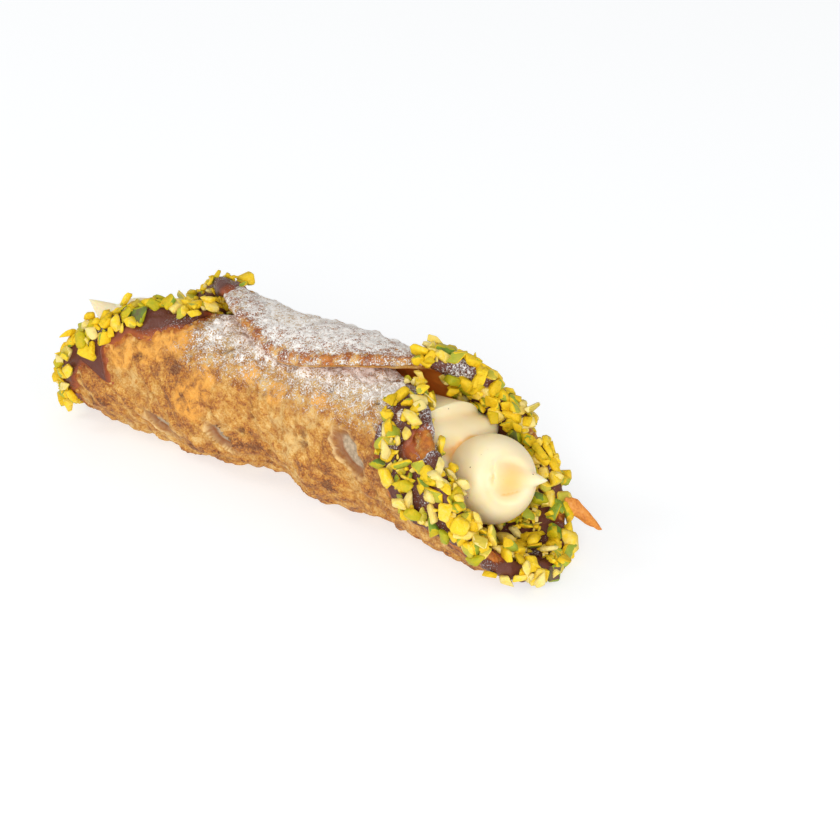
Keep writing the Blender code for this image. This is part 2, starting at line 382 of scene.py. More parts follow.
def begin_finish(name, roughness, **constants):
    """A new material, its shader and a wire of its object coordinates."""
    material = bpy.data.materials.new(name)
    material.use_nodes = True
    tree = material.node_tree
    shader = tree.nodes["Principled BSDF"]
    shader.inputs["Roughness"].default_value = roughness
    for socket, value in constants.items():
        shader.inputs[socket.replace("_", " ")].default_value = value
    where = Wire(tree.nodes.new("ShaderNodeTexCoord").outputs["Object"])
    return material, shader, where


def connect(shader, **wires):
    for socket, wire in wires.items():
        shader.id_data.links.new(wire.socket, shader.inputs[socket.replace("_", " ")])


def edge_steps():
    """Shares of the half width at which the round edge has its vertices."""
    return [1.0 - EDGE_BAND * (1.0 - cos(0.5 * pi * k / EDGE_STEPS)) for k in range(EDGE_STEPS)]


def dough_relief(x, wrap):
    """Height of the blistered surface over the plain dough, and its masks by name."""
    warp = 0.0009 * grain(x, wrap, 0.0045, 3.1)
    along = (0.8 * x + 0.6 * wrap) / 1.25 + warp
    across = 0.8 * wrap - 0.6 * x - warp
    swell = grain(x, wrap, 0.0085, 11.7)
    large, large_seams = blisters(along, across, 0.0058, 2.4, 0.55)
    small, small_seams = blisters(along, across, 0.0026, 9.2, 0.75)
    fine = grain(along, across, 0.0010, 21.0)
    crinkle = 1.0 - 2.4 * np.abs(grain(along * 0.7, across * 1.3, 0.0021, 31.0))
    busy = 0.5 + 0.5 * np.clip(1.6 * grain(x, wrap, 0.0120, 41.0) + 0.3, -1.0, 1.0)
    relief = (0.00036 * swell + 0.00092 * large + 0.00068 * small * (0.4 + 0.6 * busy)
              + 0.00020 * fine + 0.00040 * crinkle * busy - 0.00030 * small_seams)
    # Darker creases between the blisters: painted shade in the creases, and partly browner dough there.
    creased = 0.55 * small_seams * busy + 0.35 * large_seams + 0.35 * np.clip(-crinkle, 0.0, 1.0)
    opened, torn, rim = np.zeros(len(x)), np.zeros(len(x)), np.zeros(len(x))
    ragged = grain(x, wrap, 0.0016, 51.0)
    for place_x, place_wrap, length, width, direction in OPENED_BLISTERS:
        outs = []
        for shift in (0.0, UNDERCUT):
            along = ((x - place_x - shift) * cos(direction)
                     + (wrap - place_wrap + shift) * sin(direction))
            across = ((wrap - place_wrap + shift) * cos(direction)
                      - (x - place_x - shift) * sin(direction))
            outs.append(np.hypot(along / (0.5 * length), across / (0.5 * width)) + 0.20 * ragged)
        out, shifted = outs
        floor = smooth((1.0 - out) / 0.22)
        relief = mix(relief, 0.0003, 0.85 * smooth((1.25 - out) / 0.3))
        relief = relief + 0.00050 * bump(out, 1.12, 0.12) - 0.00110 * floor
        opened = np.maximum(opened, floor)
        # Painted shade: a dark inner wall on one side of each opened blister, and a dark line just inside
        # its edge all round.
        torn = np.maximum(torn, np.clip(floor - smooth((1.0 - shifted) / 0.30), 0.0, 1.0))
        torn = np.maximum(torn, 0.65 * bump(out, 0.97, 0.11))
        # A paler rim round each opened blister, and a painted highlight on its side across from the
        # painted shade.
        rim = np.maximum(rim, bump(out, 1.10, 0.07) * (0.4 + 0.6 * smooth((shifted - out) * 4.0)))
    scorched = np.zeros(len(x))
    rng = Random(PIT_SEED)
    for _ in range(PITS):
        place_x = rng.uniform(-0.060, 0.060)
        place_wrap = rng.uniform(-0.052, 0.052)
        radius = rng.uniform(0.00040, 0.00110)
        out = np.hypot(x - place_x, wrap - place_wrap) / radius + 0.3 * ragged
        pit = smooth((1.2 - out) / 0.7)
        relief = relief - 0.00055 * pit + 0.00016 * bump(out, 1.5, 0.35)
        # The pits are darkened in colour as well: painted shade in them.
        scorched = np.maximum(scorched, pit * rng.uniform(0.4, 1.0))
    browned = (0.30 + 0.22 * large + 0.12 * small + 0.18 * swell
               + 0.30 * grain(x, wrap, 0.0120, 61.0) + 0.30 * grain(x, wrap, 0.0032, 71.0))
    golden = np.zeros(len(x))
    for place_x, place_wrap, size in GOLDEN_PLACES:
        out = np.hypot(x - place_x, wrap - place_wrap) / size + 0.25 * ragged
        golden = np.maximum(golden, smooth((1.2 - out) / 0.5))
        relief = mix(relief, 0.55 * relief + 0.00045, 0.7 * smooth((1.1 - out) / 0.5))
    for place_x, place_wrap, size, more in BROWN_PLACES:
        browned = browned + more * np.exp(-((x - place_x) ** 2 + (wrap - place_wrap) ** 2)
                                          / size ** 2)
    return relief, {"browned": browned, "opened": opened, "scorched": scorched,
                    "creased": np.clip(creased, 0.0, 1.0) * (1.0 - opened), "torn": torn,
                    "rim": rim, "golden": golden}


edge = edge_steps()
outer_face = edge + list(np.linspace(1.0 - EDGE_BAND, EDGE_BAND - 1.0, OUTER_STEPS + 1))
outer_face += [-share for share in reversed(edge)]
inner_face = [-share for share in edge[1:]]
inner_face += list(np.linspace(EDGE_BAND - 1.0, 1.0 - EDGE_BAND, INNER_STEPS + 1))
inner_face += list(reversed(edge[1:]))
across_at = np.array(outer_face + inner_face)
side_at = np.array([1.0] * len(outer_face) + [-1.0] * len(inner_face))
along_at = np.array(edge + list(np.linspace(1.0 - EDGE_BAND, EDGE_BAND - 1.0, ROW_STEPS + 1))
                    + [-share for share in reversed(edge)])

dough, column, row = sphere_grid(len(across_at), len(along_at) - 1)
across, along, side = across_at[column], along_at[row], side_at[column]
wrap = DISC_HALF_WRAP * along
reach_right, reach_left = half_length(1, wrap), half_length(-1, wrap)
slope = np.where(across > 0, rim_slope(1, wrap), rim_slope(-1, wrap))
half = np.where(across > 0, reach_right, reach_left)
x = across * half
from_rim = np.minimum((1.0 - np.abs(across)) * half / np.hypot(slope, 1.0),
                      (1.0 - np.abs(along)) * DISC_HALF_WRAP)
depth = np.minimum(from_rim, EDGE_RADIUS)
height = side * EDGE_RADIUS * np.sqrt(np.maximum(0.0, 1.0 - (1.0 - depth / EDGE_RADIUS) ** 2))
relief, masks = dough_relief(x, wrap)
calm = np.where(side > 0, smooth(from_rim / 0.0020) * 0.75 + 0.25, 0.25)
calm = calm * (1.0 - 0.72 * smooth((wrap - 0.0380) / 0.0060))
notch = 0.00035 * grain(x + 0.2, wrap, 0.0022, 81.0) + 0.00020 * grain(x, wrap, 0.0008, 91.0)
at_rim = 1.0 - smooth(from_rim / 0.0022)
x = x - np.sign(across) * at_rim * notch * np.minimum(1.0, 1.0 / np.hypot(slope, 0.3))
places = roll(x, wrap - np.sign(along) * at_rim * notch * smooth(np.abs(along) * 4.0 - 2.6),
              height - EDGE_RADIUS + (relief - MEAN_RELIEF) * calm)
places[:, 2] = np.maximum(places[:, 2], 0.00002)
move_to(dough, places)

high = smooth((places[:, 2] - 0.0215) / 0.0090)
on_flap = smooth((wrap - 0.0400) / 0.0050)
lengthwise = smooth((places[:, 0] + 0.0290) / 0.0080) * smooth((0.0420 - places[:, 0]) / 0.0100)
bare_lip = bump(from_rim, 0.0009, 0.0010) * on_flap * smooth((x + 0.0240) / 0.0160)
patchy = 0.20 * grain(x, wrap, 0.0035, 101.0) + 0.18 * grain(x, wrap, 0.0016, 103.0)
near_flap = smooth((places[:, 2] - 0.0265) / 0.0060) * (1.0 - on_flap)
sugar = high * (0.50 + 0.30 * near_flap + 0.27 * on_flap) * mix(lengthwise, 1.0, on_flap)
sugar = sugar - (0.34 * bare_lip + 0.20 * (1.0 - smooth(from_rim / 0.0070))) * on_flap + patchy * high * (1.0 + 0.10 * on_flap)
sugar = np.where(side > 0, sugar, 0.0) * smooth((places[:, 2] - 0.0150) / 0.0040)

surface, shader, where = begin_finish("fried dough", 0.62, IOR=1.42)
flat = where.kept("flat", 1)
mottle = flat.lumps(0.0018, 4.0, 0.58, 0.4)
fibres = flat.lumps(0.0008, 3.0, 0.60, 0.9)
spread = where.kept("browned") + 1.8 * (mottle - 0.5) + 1.4 * (where.lumps(0.0004, 2.0) - 0.5)
crust = spread.ramp(
    (0.00, (0.72, 0.47, 0.17)),
    (0.26, (0.64, 0.34, 0.076)),
    (0.50, (0.54, 0.235, 0.028)),
    (0.74, (0.39, 0.125, 0.016)),
    (1.00, (0.15, 0.042, 0.008)))
pale = where.lumps(0.0008, 3.0).ramp((0.34, (0.29, 0.215, 0.140)), (0.66, (0.55, 0.43, 0.29)))
# The creases are darkened: painted shade where they fall in shadow, and partly browner dough.
crease_shade_and_brown = where.kept("creased") * mottle.step(0.30, 0.65)
crust = (0.85 * crease_shade_and_brown).blend(crust, (0.24, 0.080, 0.022, 1.0))
threads = 1.0 - abs(fibres - 0.5).step(0.0, 0.045)
crust = (0.22 * threads).blend(crust, (0.80, 0.52, 0.20, 1.0))
golden = where.kept("golden") * mottle.step(0.70, 0.38)
crust = (0.70 * golden).blend(crust, (0.90, 0.41, 0.060, 1.0))
crust = where.kept("opened").blend(crust, pale)
# Painted shade on one inner side of each opened blister and just inside its edge.
crust = (0.95 * where.kept("torn")).blend(crust, (0.28, 0.090, 0.016, 1.0))
# The paler blister rims, with a painted highlight on the side across from the painted shade.
crust = (0.8 * where.kept("rim")).blend(crust, (0.86, 0.60, 0.27, 1.0))
# Painted shade in the pits.
painted_pit_shade = where.kept("scorched") * where.lumps(0.0007).step(0.25, 0.55)
crust = painted_pit_shade.blend(crust, (0.13, 0.045, 0.018, 1.0))
stains = where.kept("stained") * mottle.step(0.30, 0.55)
toffee = where.lumps(0.0015, 3.0, 0.6).ramp((0.36, (0.24, 0.036, 0.006)), (0.64, (0.58, 0.19, 0.020)))
crust = (0.90 * stains).blend(crust, toffee)
crust = where.kept("inside").blend(crust, (0.80, 0.25, 0.030, 1.0))
dust = where.kept("sugar") + 2.9 * (where.lumps(0.00034, 2.0, 0.8) - 0.5)
dust = dust + 1.00 * (where.lumps(0.0012, 2.0) - 0.5)
dusted = dust.step(0.28, 0.74) * where.kept("sugar").step(0.02, 0.14)
icing = where.lumps(0.0009, 3.0).ramp((0.35, (0.90, 0.83, 0.77)), (0.56, (1.00, 0.97, 0.93)))
connect(shader, Base_Color=dusted.blend(crust, icing),
        Roughness=0.58 + 0.34 * dusted,
        Normal=where.node("ShaderNodeBump", {}, {
            "Strength": 1.0, "Distance": 0.00014,
            "Height": mottle + 0.5 * fibres + 0.9 * dusted
            + 4.0 * stains * where.lumps(0.0012, 3.0)}))

shell = finished("rolled_dough", dough, [surface], ["shell"])
keep(shell, "browned", masks["browned"] - 0.24 * high)
keep(shell, "opened", masks["opened"] * (side > 0))
keep(shell, "torn", masks["torn"] * (side > 0))
keep(shell, "rim", masks["rim"] * (side > 0))
keep(shell, "golden", np.maximum(masks["golden"], 0.6 * bare_lip) * (side > 0))
keep(shell, "scorched", masks["scorched"] * (side > 0))
keep(shell, "inside", np.where(side > 0, 0.0, smooth(from_rim / 0.0010)))
keep(shell, "sugar", sugar)
keep(shell, "creased", masks["creased"] * (side > 0))
keep(shell, "flat", np.stack(((0.8 * x + 0.6 * wrap) / 1.25, 0.8 * wrap - 0.6 * x, height), axis=-1))

# ------------------------------------------------------------------ the flake at the right rim
# A splinter of the fried edge that has split from the right rim and bends out over the table,
# still fixed to the dough at its root.

FLAKE_ROOT = Vector((0.0570, 0.0116, 0.0103))
FLAKE_TIP = Vector((0.0636, 0.0152, 0.0041))
FLAKE_FACES = Vector((0.57, -0.69, 0.45))
FLAKE_WIDTH, FLAKE_THICKNESS = 0.0014, 0.0007

flake, column, row = sphere_grid(40, 24)
aimed = np.array([tuple(vert.co) for vert in flake.verts])
run = 0.5 + 0.5 * aimed[:, 2]
torn_edge = 0.55 * grain(run, aimed[:, 0], 0.30, 111.0)
wide = FLAKE_WIDTH * (1.0 - 0.70 * run) * (1.4 * aimed[:, 0] + torn_edge)
thick = FLAKE_THICKNESS * aimed[:, 1] + 0.0006 * np.sin(pi * run)
way = (FLAKE_TIP - FLAKE_ROOT).normalized()
level = way.cross(FLAKE_FACES).normalized()
upright = level.cross(way)
move_to(flake, np.array(FLAKE_ROOT) + np.outer(run, np.array(FLAKE_TIP - FLAKE_ROOT))
        + np.outer(wide, np.array(level)) + np.outer(thick, np.array(upright)))
splinter = finished("edge_flake", flake, [surface], [])
keep(splinter, "browned", 0.45 + 0.3 * grain(run, aimed[:, 0], 0.3, 112.0))
keep(splinter, "inside", np.full(len(run), 0.55))
keep(splinter, "flat", np.stack((0.006 * run, wide, thick), axis=-1))

# ------------------------------------------------------------------ the chocolate on the rims
# Melted dark chocolate that both mouths were dipped in, down the outside and a little way into
# the tube. It set thick in some places and thin and reddish in others, with bare dough between.

EDGE_LENGTH = pi * EDGE_RADIUS
CROSSING_WRAP = 0.0470
CHOCOLATE_ROWS, CHOCOLATE_COLUMNS = 250, 150
CHOCOLATE_DEPTH = 0.0007
BARE_PATCHES = {                   # reach, wrap and their two half sizes
    1: ((-0.0006, -0.0335, 0.0034, 0.0022), (0.0016, 0.0262, 0.0018, 0.0016),
        (0.0016, 0.0125, 0.0018, 0.0022), (0.0030, -0.0130, 0.0014, 0.0018)),
    -1: ((-0.0020, 0.0250, 0.0020, 0.0030), (0.0010, -0.0200, 0.0014, 0.0016)),
}
THIN_DRIPS = {                     # wrap, width and how much farther down the outside they run
    1: ((-0.0310, 0.0030, 0.0014), (0.0240, 0.0040, 0.0016)),
    -1: ((-0.0295, 0.0017, 0.0060), (-0.0425, 0.0042, 0.0030), (0.0200, 0.0040, 0.0040)),
}
BESIDE = {1: (0.0150, 0.0120), -1: (0.0060, 0.0080)}  # where the outside reach grows, and over what
OUTER_REACH = {1: (0.0014, 0.0106), -1: (0.0015, 0.0035)}
INNER_REACH = {1: (0.0150, 0.0112), -1: (0.0075, 0.0075)}
RIM_TAPER = {1: 1.35, -1: 3.0}


def beside(end, wrap):
    """0 at the bottom of the tube, 1 on its sides and top."""
    start, over = BESIDE[end]
    return smooth((np.abs(wrap) - start) / over)


def over_the_rim(reach, height):
    """Depth from the rim and height over the dough, at a reach measured round its edge."""
    angle = np.clip(reach, 0.0, EDGE_LENGTH) / EDGE_RADIUS
    over = EDGE_RADIUS + height
    depth = np.where(reach < 0.0, EDGE_RADIUS - reach, EDGE_RADIUS - over * np.sin(angle))
    depth = np.where(reach > EDGE_LENGTH, EDGE_RADIUS + reach - EDGE_LENGTH, depth)
    above = np.where(reach < 0.0, height, over * np.cos(angle) - EDGE_RADIUS)
    return depth, np.where(reach > EDGE_LENGTH, -DOUGH_THICKNESS - height, above)


def on_the_rim(end, wrap, reach, height):
    """Points at a reach round the rim and a height over the dough."""
    depth, above = over_the_rim(reach, height)
    slope = rim_slope(end, wrap)
    size = np.hypot(slope, 1.0)
    x = end * (half_length(end, wrap) - depth / size)
    return roll(x, wrap + slope * depth / size, above)


def chocolate_edges(end, wrap):
    """How far the chocolate runs down the outside and into the tube."""
    ragged = 0.0013 * grain(wrap, wrap + 3.0 * end, 0.0042, 5.0)
    ragged = ragged + 0.0006 * grain(wrap, wrap, 0.0015, 6.0)
    outside = mix(*OUTER_REACH[end], beside(end, wrap))
    for middle, width, more in THIN_DRIPS[end]:
        outside = outside + more * bump(wrap, middle, width)
    inside = mix(*INNER_REACH[end], smooth((np.abs(wrap) - 0.012) / 0.008)) + ragged
    room = np.maximum(0.0, RIM_TAPER[end] * (CROSSING_WRAP - np.abs(wrap)))
    outside = np.where(wrap < 0, np.minimum(outside + ragged, room), outside + ragged)
    return outside, np.minimum(inside, room)


def chocolate_cover(end, wrap, reach):
    """About 1 under the middle of the chocolate, and 0 at its edge and beyond."""
    outside, inside = chocolate_edges(end, wrap)
    room = np.minimum(reach + outside, EDGE_LENGTH + inside - reach)
    room = np.minimum(room, CROSSING_WRAP - np.abs(wrap))
    under = np.where(wrap > 0, 0.0450 + 0.0030 * grain(wrap, reach, 0.003, 3.0) - wrap, 1.0)
    room = np.where(reach > 0.55 * EDGE_LENGTH, np.minimum(room, under), room)
    ragged = grain(wrap, reach, 0.0016, 7.0 + end)
    cover = np.minimum(room / 0.0011, 1.8) + 0.35 * ragged
    for at_reach, at_wrap, long, wide in BARE_PATCHES[end]:
        out = np.hypot((reach - at_reach) / long, (wrap - at_wrap) / wide) + 0.35 * ragged
        cover = cover - 2.4 * smooth(1.6 - out)
    return cover


outward = np.arcsin(np.clip(1.0 - from_rim / EDGE_RADIUS, 0.0, 1.0))
reach = EDGE_RADIUS * outward - np.maximum(0.0, from_rim - EDGE_RADIUS)
reach = np.where(side > 0, reach, EDGE_LENGTH - reach)
stained = np.zeros(len(reach))
for end in (1, -1):
    at_rim = wrap
    for _ in range(3):
        tilt = rim_slope(end, at_rim)
        at_rim = wrap - tilt * from_rim / np.hypot(tilt, 1.0)
    cover = chocolate_cover(end, np.clip(at_rim, -CROSSING_WRAP, CROSSING_WRAP), reach)
    stained = np.where(across * end > 0, smooth((cover + 1.5) / 0.9), stained)
keep(shell, "stained", stained)

coating, shader, where = begin_finish("dark chocolate", 0.34, IOR=1.40)
streaks = where.lumps(0.0022, 3.0, 0.55, 0.6)
cocoa = (where.kept("cover") + 0.5 * (streaks - 0.5)).ramp(
    (0.10, (0.38, 0.095, 0.025)),
    (0.42, (0.210, 0.046, 0.015)),
    (0.75, (0.105, 0.027, 0.013)),
    (1.00, (0.130, 0.038, 0.024)))
dust = (where.kept("sugar") + 1.3 * (where.lumps(0.00036, 3.0, 0.7) - 0.5)).step(0.50, 0.70)
connect(shader, Base_Color=dust.blend(cocoa, (0.80, 0.78, 0.80, 1.0)),
        Roughness=0.28 + 0.24 * streaks + 0.4 * dust,
        Normal=where.node("ShaderNodeBump", {}, {
            "Strength": 0.9, "Distance": 0.00035,
            "Height": where.lumps(0.0013, 4.0, 0.62) + 0.4 * dust}))

for end, side_name in ((1, "right"), (-1, "left")):
    coat, column, row = sphere_grid(CHOCOLATE_COLUMNS, CHOCOLATE_ROWS)
    turn = column / CHOCOLATE_COLUMNS
    top = turn < 0.5
    share = np.where(top, 1.0 - turn / 0.5, turn / 0.5 - 1.0)
    wrap = CROSSING_WRAP * (1.0 - 2.0 * row / CHOCOLATE_ROWS)
    closing = np.clip((CROSSING_WRAP - np.abs(wrap)) / 0.004, 0.0, 1.0) ** 0.5
    outside, inside = chocolate_edges(end, wrap)
    reach = mix(-outside - 0.0008, EDGE_LENGTH + inside + 0.0006, 0.5 + (share - 0.5) * closing)
    cover = chocolate_cover(end, wrap, reach)
    lumpy = 1.0 + 0.5 * grain(wrap, reach, 0.0028, 17.0 + end) + 0.4 * grain(wrap, reach, 0.0011, 19.0)
    height = np.where(top, -0.00035 + (0.00035 + CHOCOLATE_DEPTH * lumpy) * smooth(cover), -0.0008)
    spots = on_the_rim(end, wrap, reach, height)
    move_to(coat, spots)
    piece = finished(f"chocolate_on_{side_name}_rim", coat, [coating],
                     [f"chocolate_{side_name}"])
    keep(piece, "cover", np.clip(0.55 * cover, 0.0, 1.0))
    dusty = 0.27 + 0.05 * end + 0.30 * grain(wrap, reach, 0.0050, 23.0)
    dusty = dusty + 0.20 * smooth((spots[:, 2] - 0.0180) / 0.0140)
    keep(piece, "sugar", dusty)

# ------------------------------------------------------------------ the chopped pistachios
# Raw green pistachio kernels chopped by hand into angular bits of 2 to 6 mm. The wet chocolate
# was pressed into them, so they crowd each rim, outside, over the edge and a little way inside.

CHOPPED_KINDS = 42
KERNEL = (0.0085, 0.0048, 0.0042)  # half axes of a whole kernel
NUT_RULES = {  # biggest, smallest, reach outside and inside
    1: (0.0042, 0.0013, 0.0102, 0.0135),
    -1: (0.0044, 0.0013, 0.0030, 0.0050),
}
NUT_LAYERS = (                     # how close, how high, how many at most, where and how big
    (0.56, 0.10, {1: 90, -1: 80}, "edge", 1.0),
    (0.56, 0.14, {1: 430, -1: 240}, "all", 1.0),
    (0.90, 0.60, {1: 80, -1: 36}, "all", 1.0),
    (0.70, 0.30, {1: 260, -1: 120}, "all", 0.40),
)
BIG_BITS = {                       # wrap, reach, size and how green, of those chopped least
    1: ((0.0275, 0.0052, 0.0060, 0.85), (0.0440, -0.0006, 0.0064, 0.70),
        (-0.0200, -0.0020, 0.0046, 0.80), (-0.0352, -0.0098, 0.0044, 0.75),
        (0.0424, 0.0008, 0.0044, 0.30), (0.0400, -0.0012, 0.0040, 0.35), (0.0376, 0.0014, 0.0042, 0.20),
        (0.0042, 0.0020, 0.0056, 0.45), (0.0094, 0.0019, 0.0060, 0.30), (0.0146, 0.0020, 0.0056, 0.20),
        (0.0068, 0.0024, 0.0054, 0.20), (0.0120, 0.0023, 0.0056, 0.45),
        (0.0198, 0.0020, 0.0048, 0.40), (-0.0405, -0.0058, 0.0040, 0.30), (-0.0432, -0.0024, 0.0042, 0.35),
        (-0.0388, -0.0020, 0.0038, 0.25), (-0.0300, -0.0070, 0.0036, 0.30),
        (0.0080, 0.0085, 0.0050, 0.35), (-0.0060, 0.0080, 0.0052, 0.30)),
    -1: ((-0.0385, -0.0012, 0.0056, 0.85), (-0.0290, -0.0022, 0.0052, 0.30),
         (-0.0180, 0.0010, 0.0046, 0.40), (-0.0240, 0.0016, 0.0048, 0.45),
         (-0.0330, 0.0014, 0.0044, 0.30)),
}
STANDING_BIT = (0.0424, -0.0037, 0.0026, 0.0056, 0.30)   # on the sugared flap near the left rim
STANDING_FACES = (0.62, -0.76, 0.10)


def chop(rng):
    """One bit of a kernel, about 1 across: a lump of it cut off by five to seven cuts."""
    shape = bmesh.new()
    bmesh.ops.create_icosphere(shape, subdivisions=2, radius=1.0)
    bmesh.ops.scale(shape, verts=shape.verts, vec=KERNEL)
    for face in shape.faces:
        face.material_index = 1
    direction = Vector((rng.gauss(0, 1), rng.gauss(0, 1), rng.gauss(0, 1))).normalized()
    inward = rng.uniform(0.35, 0.95)
    middle = Vector([axis * part * inward for axis, part in zip(KERNEL, direction)])
    size = 0.0016 * rng.uniform(0.8, 1.2)
    turned = Matrix.Rotation(rng.uniform(0, pi), 3, direction)
    for axis in range(3):
        for way in (1.0, -1.0):
            tilt = Vector((rng.gauss(0, 0.20), rng.gauss(0, 0.20), rng.gauss(0, 0.20)))
            square = Vector([way if k == axis else 0.0 for k in range(3)])
            normal = turned @ (square + tilt).normalized()
            stretch = (1.15, 0.95, 0.80)[axis] * rng.uniform(0.8, 1.15)
            cut = bmesh.ops.bisect_plane(
                shape, geom=[*shape.verts, *shape.edges, *shape.faces], dist=1e-7,
                plane_co=middle + normal * size * stretch, plane_no=normal, clear_outer=True)
            ends = [e for e in cut["geom_cut"] if isinstance(e, bmesh.types.BMEdge)]
            filled = bmesh.ops.holes_fill(shape, edges=ends)
            for face in filled["faces"]:
                face.material_index = 0
    bmesh.ops.remove_doubles(shape, verts=shape.verts, dist=0.00012)
    sharp = [e for e in shape.edges if e.is_manifold and e.calc_face_angle(0.0) > radians(32)]
    bmesh.ops.bevel(shape, geom=sharp, offset=0.00046, offset_type="OFFSET", segments=1,
                    profile=0.5, affect="EDGES", material=-1, clamp_overlap=True)
    bmesh.ops.smooth_vert(shape, verts=shape.verts, factor=0.46, use_axis_x=True,
                          use_axis_y=True, use_axis_z=True)
    for vert in shape.verts:
        vert.co += 0.00016 * noise.noise_vector(vert.co * 800.0)
    centre = sum((vert.co for vert in shape.verts), Vector()) / len(shape.verts)
    bmesh.ops.translate(shape, verts=shape.verts, vec=-centre)
    across = max(vert.co.length for vert in shape.verts) * 2.0
    bmesh.ops.scale(shape, verts=shape.verts, vec=(1.0 / across,) * 3)
    mesh = bpy.data.meshes.new("pistachio bit")
    shape.to_mesh(mesh)
    shape.free()
    return mesh


rng = Random(17)
bits = [chop(rng) for _ in range(CHOPPED_KINDS)]

flesh, shader, where = begin_finish("pistachio flesh", 0.46, IOR=1.36, Subsurface_Weight=0.12,
                                    Subsurface_Radius=(0.0010, 0.0009, 0.0003),
                                    Subsurface_Scale=1.0)
shade = where.kept("green") + 0.60 * (where.lumps(0.0011, 4.0, 0.65) - 0.5)
kernel = shade.ramp(
    (0.00, (0.88, 0.72, 0.26)),
    (0.26, (0.92, 0.63, 0.016)),
    (0.46, (0.80, 0.51, 0.008)),
    (0.70, (0.52, 0.44, 0.006)),
    (1.00, (0.24, 0.34, 0.010)))
dust = (where.kept("sugar") + 0.8 * (where.lumps(0.00035, 3.0, 0.7) - 0.5)).step(0.52, 0.68)
connect(shader, Base_Color=dust.blend(kernel, (0.88, 0.87, 0.84, 1.0)),
        Roughness=0.36 + 0.22 * where.lumps(0.0008) + 0.3 * dust,
        Normal=where.node("ShaderNodeBump", {}, {
            "Strength": 1.0, "Distance": 0.00045,
            "Height": where.lumps(0.0012, 5.0, 0.62)}))

skin, shader, where = begin_finish("pistachio skin", 0.42, IOR=1.38)
shade = where.kept("green") + 0.5 * (where.lumps(0.0013, 3.0, 0.6) - 0.5)
kernel = shade.ramp(
    (0.05, (0.66, 0.50, 0.05)),
    (0.40, (0.36, 0.42, 0.030)),
    (0.70, (0.15, 0.27, 0.020)),
    (0.95, (0.13, 0.075, 0.050)))
dust = (where.kept("sugar") + 0.8 * (where.lumps(0.00035, 3.0, 0.7) - 0.5)).step(0.52, 0.68)
connect(shader, Base_Color=dust.blend(kernel, (0.88, 0.87, 0.84, 1.0)),
        Roughness=0.34 + 0.20 * where.lumps(0.0008) + 0.3 * dust,
        Normal=where.node("ShaderNodeBump", {}, {
            "Strength": 1.0, "Distance": 0.00035,
            "Height": where.lumps(0.0010, 5.0, 0.62)}))


def scatter(end, rng):
    """Places, directions and sizes of the nuts on one rim, big ones first in each layer."""
    biggest, smallest, outer, inner = NUT_RULES[end]
    tries = 7000
    chosen, first, first_widths = [], [], []
    for wrap, reach, size, tone in BIG_BITS[end]:
        low, high = (on_the_rim(end, np.array([wrap]), np.array([reach]), np.array([height]))[0]
                     for height in (0.0012, 0.0022))
        first.append(low)
        first_widths.append(0.8 * size)
        chosen.append((low, (high - low) / np.linalg.norm(high - low), size, tone))
    if end == -1:
        foot = on_the_rim(end, *(np.array([number]) for number in STANDING_BIT[:3]))[0]
        chosen.append((foot, np.array(STANDING_FACES), *STANDING_BIT[3:]))
    for close, raised, most, stretch, share in NUT_LAYERS:
        wraps = np.array([rng.uniform(-0.0465, 0.0468) for _ in range(tries)])
        spans = np.array([rng.random() for _ in range(tries)])
        outside = np.minimum(chocolate_edges(end, wraps)[0] - 0.0006, outer)
        outside = mix(-0.30 * EDGE_LENGTH, np.maximum(outside, 0.0), beside(end, wraps))
        reaches = mix(-outside, EDGE_LENGTH + inner, spans)
        if stretch == "edge":
            reaches = EDGE_LENGTH * spans
        sizes = [smallest + (biggest - smallest) * rng.random() ** 1.6 for _ in range(tries)]
        sizes = share * np.sort(sizes)[::-1]
        covers = chocolate_cover(end, wraps, reaches)
        gaps_left = grain(wraps, reaches, 0.0042, 29.0 + end)
        spare = np.where((wraps > 0.0120) | (end == -1), -0.16, -0.02)
        low = on_the_rim(end, wraps, reaches, np.full(tries, 0.0006))
        high = on_the_rim(end, wraps, reaches, np.full(tries, 0.0016))
        taken, widths = list(first), list(first_widths)
        for k in range(tries):
            if len(taken) >= most[end] + len(first):
                break
            normal = (high[k] - low[k]) / np.linalg.norm(high[k] - low[k])
            spot = low[k] + normal * (0.12 + raised) * min(sizes[k], 0.0032)
            if covers[k] < 0.35 or spot[2] < 0.0006 + 0.4 * sizes[k] or gaps_left[k] < spare[k]:
                continue
            if wraps[k] > 0.0435 and reaches[k] > 0.35 * EDGE_LENGTH:
                continue
            if end == -1 and wraps[k] > 0.0330 and sizes[k] > 0.0026:
                continue
            if taken:
                gaps = np.linalg.norm(np.array(taken) - spot, axis=1)
                if np.any(gaps < 0.5 * close * (np.array(widths) + sizes[k])):
                    continue
            taken.append(spot)
            widths.append(sizes[k])
            chosen.append((spot, normal, sizes[k], min(1.0, max(0.0, rng.gauss(0.31, 0.23)))))
    return chosen


